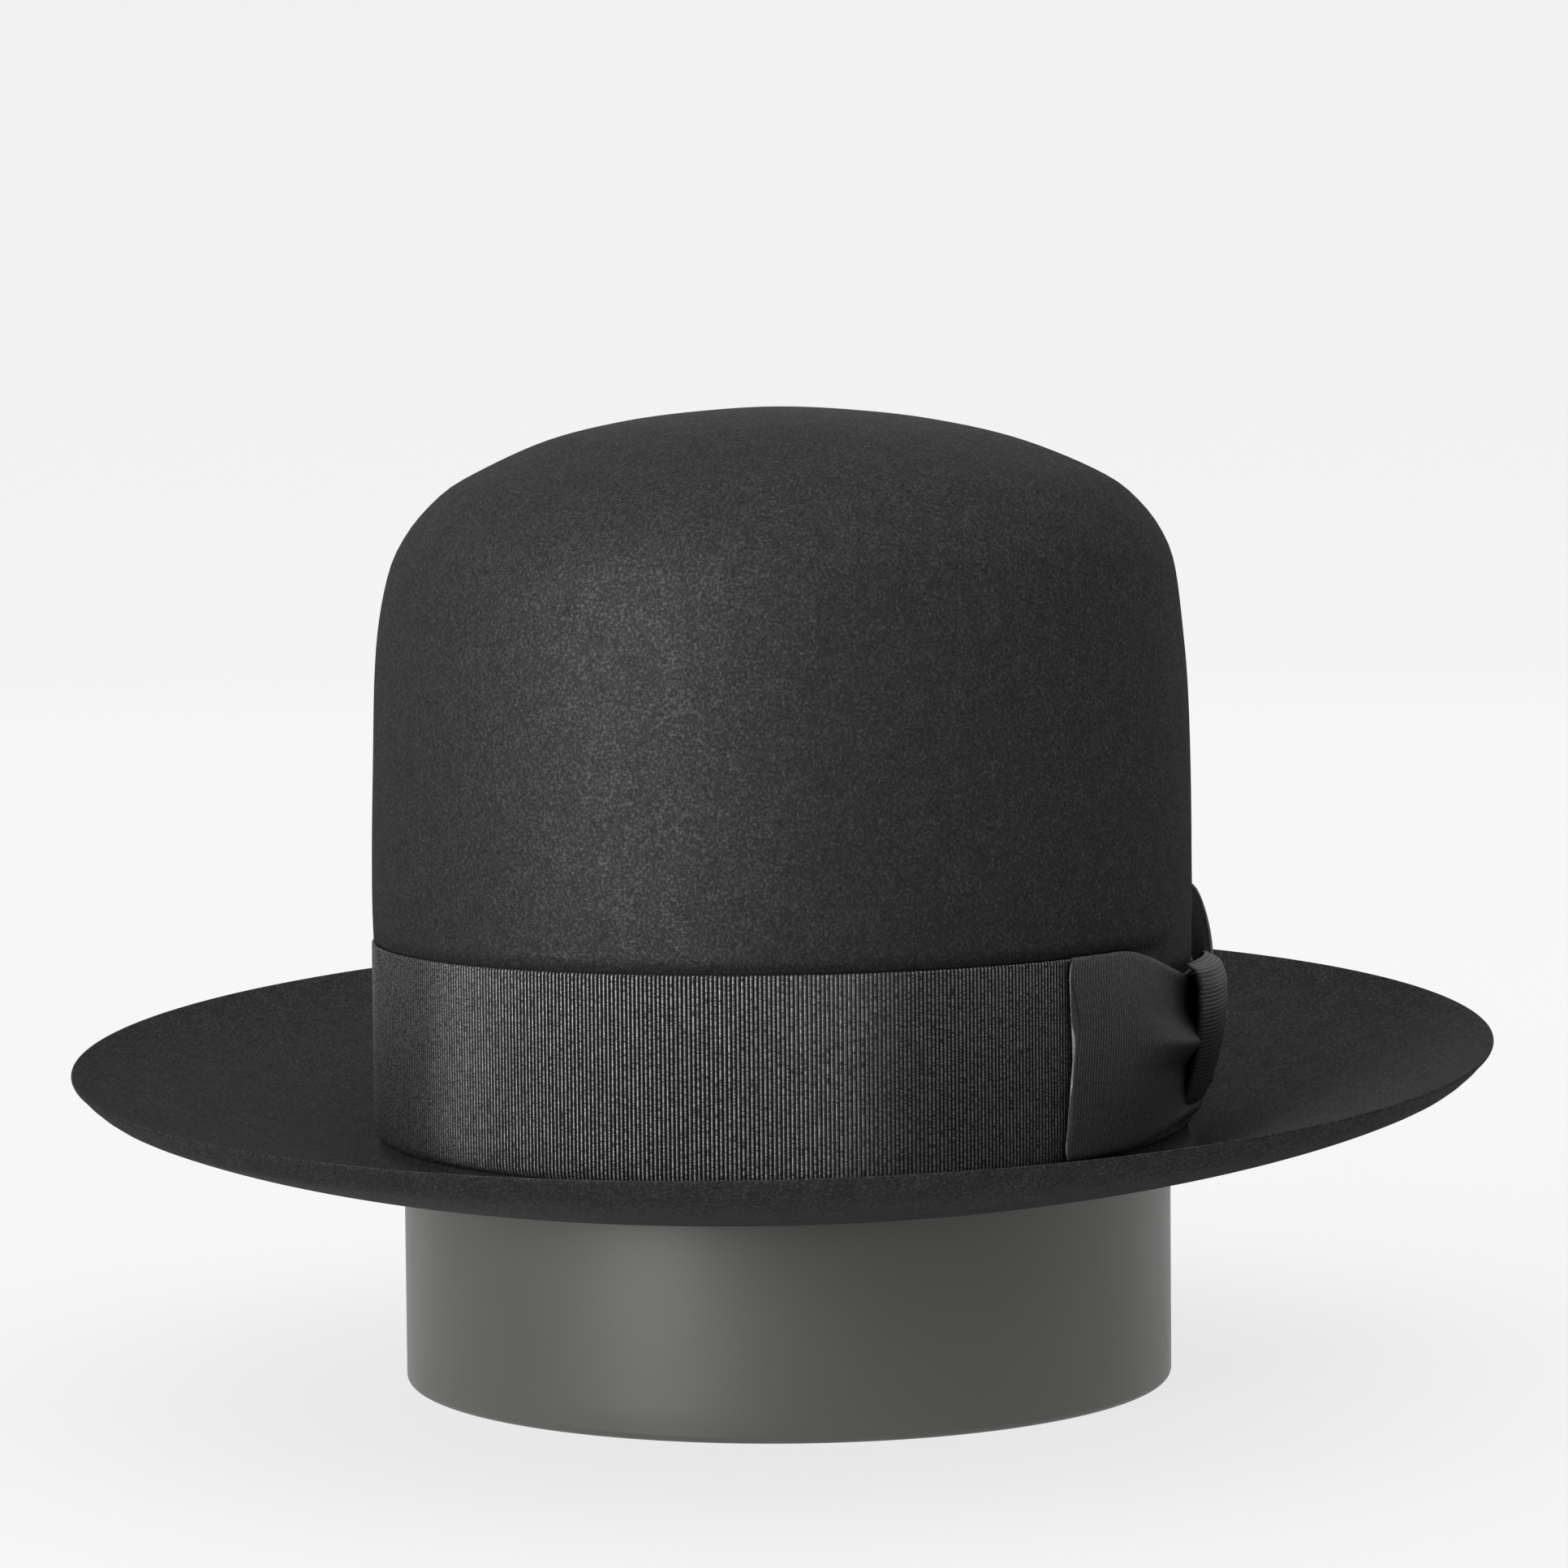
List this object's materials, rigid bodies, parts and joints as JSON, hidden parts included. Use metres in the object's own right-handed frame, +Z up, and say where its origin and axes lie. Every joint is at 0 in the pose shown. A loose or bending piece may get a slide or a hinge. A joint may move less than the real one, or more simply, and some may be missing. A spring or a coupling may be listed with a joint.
{
  "type": "fedora hat on a plain round stand",
  "caption": "Black felt fedora with a rounded open crown, a flat upturned brim and a wide ribbon with a side bow, resting on a plain round stand.",
  "frame": {"origin": "on the surface that the stand rests on, under the middle of the brim", "axes": "+Z up, the front of the hat towards -Y, the wearer's left side with the bow towards +X"},
  "size_m": [0.304, 0.3316, 0.2097],
  "materials": {
    "felt": "brushed black fur felt, matt with a soft sheen",
    "ribbon": "black grosgrain ribbon with fine upright ribs that catch the light",
    "stand": "plain grey satin paint"
  },
  "bodies": {
    "root": {"felt_body": "felt", "ribbon_band": "ribbon", "bow_front_leaf": "ribbon", "bow_rear_leaf": "ribbon", "bow_wrap": "ribbon", "stand": "stand"}
  },
  "joints": []
}
